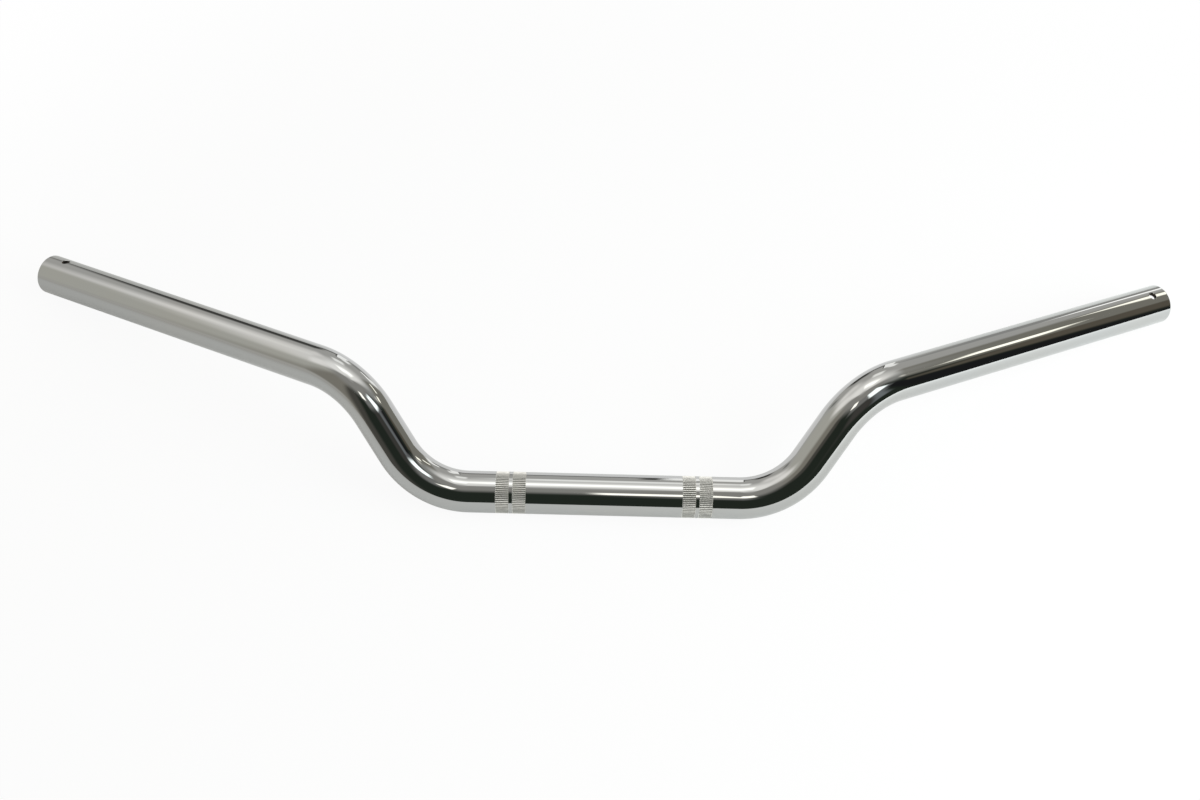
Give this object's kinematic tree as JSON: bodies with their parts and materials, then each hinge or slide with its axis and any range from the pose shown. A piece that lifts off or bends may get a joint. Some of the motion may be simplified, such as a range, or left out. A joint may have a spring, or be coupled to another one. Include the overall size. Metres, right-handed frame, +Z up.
{
  "type": "motorcycle handlebar",
  "caption": "One-piece bent steel tube handlebar in chrome, with a straight knurled clamp run, raised bends, swept-back grips and a retainer hole near each open end.",
  "frame": {"origin": "middle of the straight clamped run, on the tube's axis", "axes": "+X along the clamped run towards the bar's right-hand grip, +Y the way the grips sweep back, +Z up from the bench it lies on, with the clamped run and both open ends resting on the bench"},
  "size_m": [0.6526, 0.1579, 0.0627],
  "materials": {
    "chrome_plate": "bright chrome plate on steel tube"
  },
  "bodies": {
    "root": {"handlebar_tube": "chrome_plate"}
  },
  "joints": []
}
